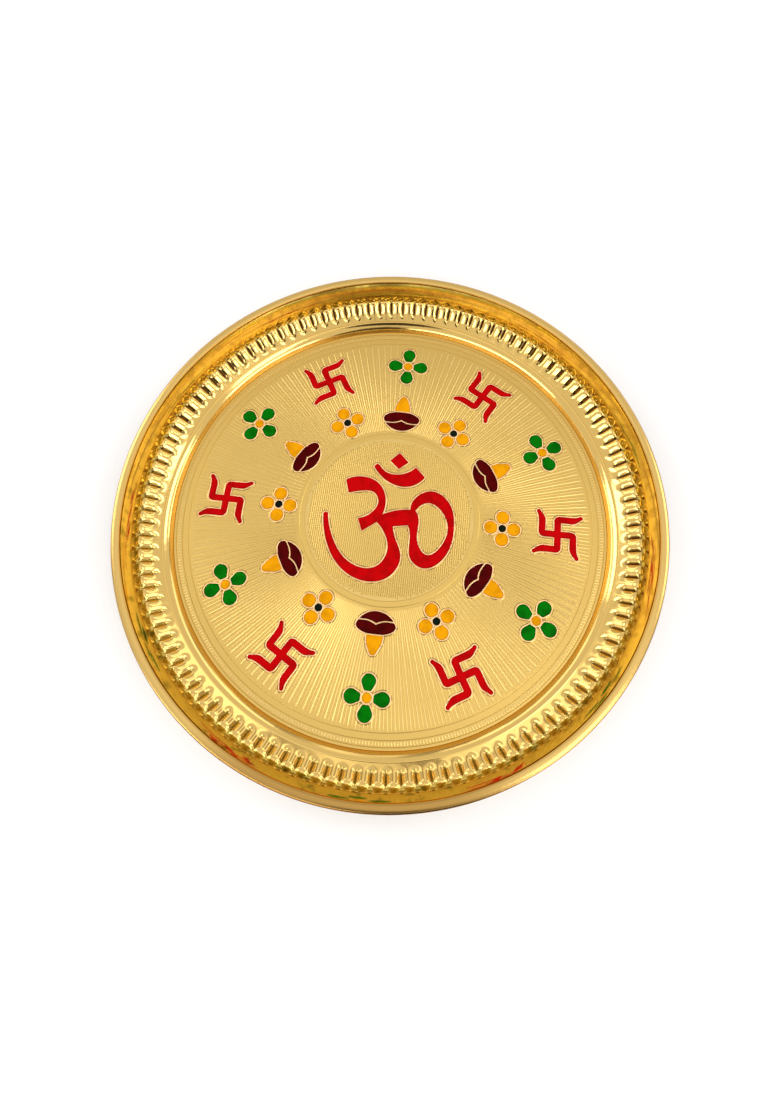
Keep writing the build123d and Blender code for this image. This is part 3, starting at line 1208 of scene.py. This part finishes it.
def lower_edge(node, name):
    """The lower edge of a CAD solid's side, moved outwards by half an outline."""
    piece = node_copy(node, name)
    choose_faces(piece, lambda face: abs(face.normal.z) > 0.5)
    bpy.ops.mesh.delete(type="FACE")
    bpy.ops.mesh.select_all(action="SELECT")
    bpy.ops.transform.shrink_fatten(value=outline_radius)
    choose_points(piece, lambda vertex: vertex.co.z > floor_top + lower_edge_below)
    bpy.ops.mesh.delete(type="VERT")
    bpy.ops.mesh.select_all(action="SELECT")
    bpy.ops.mesh.remove_doubles(threshold=outline_spacing)
    bpy.ops.object.mode_set(mode="OBJECT")
    return piece


print("half width of an outline in mm:", round(outline_radius / MM, 2))

# %% Outlines
outline_lift = 0.08 * MM
outline_flatness = 0.6
outline_roundness = 2
corner_radius = 0.80 * MM
corner_flatness = 0.16
corner_roundness = 1


def wire_round(node, name, radius, roundness, flatness, lift):
    """A wire laid round one enamel fill and pressed flatter."""
    only(lower_edge(node, name))
    bpy.ops.object.convert(target="CURVE")
    curve = bpy.context.object.data
    curve.twist_mode = "Z_UP"
    curve.bevel_depth = radius
    curve.bevel_resolution = roundness
    bpy.ops.object.convert(target="MESH")
    piece = bpy.context.object
    bpy.ops.object.mode_set(mode="EDIT")
    bpy.ops.mesh.select_all(action="SELECT")
    bpy.ops.transform.resize(value=(1, 1, flatness), center_override=(0, 0, floor_top))
    bpy.ops.transform.translate(value=(0, 0, lift))
    bpy.ops.mesh.normals_make_consistent(inside=False)
    bpy.ops.object.mode_set(mode="OBJECT")
    return piece


def joined(pieces, name):
    """One piece made of several."""
    bpy.ops.object.select_all(action="DESELECT")
    for piece in pieces:
        piece.select_set(True)
    bpy.context.view_layer.objects.active = pieces[0]
    bpy.ops.object.join()
    whole = bpy.context.object
    whole.name = name
    bpy.ops.object.shade_smooth_by_angle(angle=trim_smooth_angle)
    return whole


def wires_round_all(name, *shape):
    """One piece with a wire of the given shape round every fill."""
    return joined([wire_round(node, node + "_wire", *shape) for node in enamel_nodes], name)


motif_outlines = wires_round_all("motif_outlines", outline_radius, outline_roundness, outline_flatness,
                                 outline_lift)
hand_over(motif_outlines, "brass", outline_brass)
motif_corners = wires_round_all("motif_corners", corner_radius, corner_roundness, corner_flatness, 0)
hand_over(motif_corners, "brass", corner_brass)
print("outline faces:", len(motif_outlines.data.polygons), "and", len(motif_corners.data.polygons))

# %% [markdown]
# ## Sizes
#
# The dressed tray must keep the CAD model's size, so both boxes are printed side by side.

# %% Sizes
sizes = {"cad": [list(corner) for corner in cad_box], "visual": [list(corner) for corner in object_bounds()]}
for name, box in sizes.items():
    print(name, "box in mm:", [[round(value / MM, 2) for value in corner] for corner in box])
